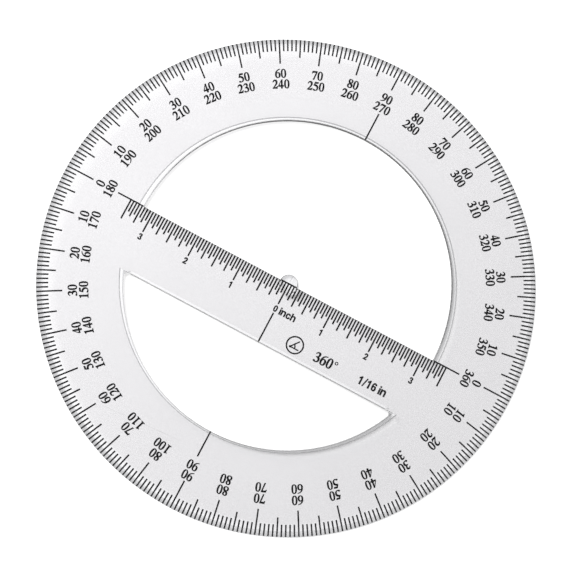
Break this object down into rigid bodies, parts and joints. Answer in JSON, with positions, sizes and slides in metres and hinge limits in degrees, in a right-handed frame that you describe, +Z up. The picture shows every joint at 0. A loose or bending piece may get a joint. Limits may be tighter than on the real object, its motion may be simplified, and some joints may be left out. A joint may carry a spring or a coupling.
{
  "type": "full-circle protractor",
  "caption": "Clear full-circle protractor: a bevelled ring with degree graduations, a crossbar with an inch ruler, a small centre tab, and two openings to draw through.",
  "frame": {"origin": "centre of the degree scale, on the underside of the plate", "axes": "+X along the ruler edge towards the 0-degree mark on the right, +Y in the plane towards the larger opening, +Z up out of the plate's top face"},
  "size_m": [0.25, 0.25, 0.003],
  "materials": {
    "clear_plastic": "polished clear plastic with a faint grey tone",
    "black_ink": "matte printing ink"
  },
  "bodies": {
    "root": {"plate": "clear_plastic", "one_degree_ticks": "black_ink", "five_degree_ticks": "black_ink", "ten_degree_ticks": "black_ink", "outer_numerals": "black_ink", "inner_numerals": "black_ink", "base_line": "black_ink", "quadrant_lines": "black_ink", "bar_centre_line": "black_ink", "sixteenth_inch_ticks": "black_ink", "eighth_inch_ticks": "black_ink", "quarter_inch_ticks": "black_ink", "half_inch_ticks": "black_ink", "inch_ticks": "black_ink", "inch_numerals": "black_ink", "inch_legend": "black_ink", "angle_badge": "black_ink", "degree_legend": "black_ink", "division_legend": "black_ink"}
  },
  "joints": []
}
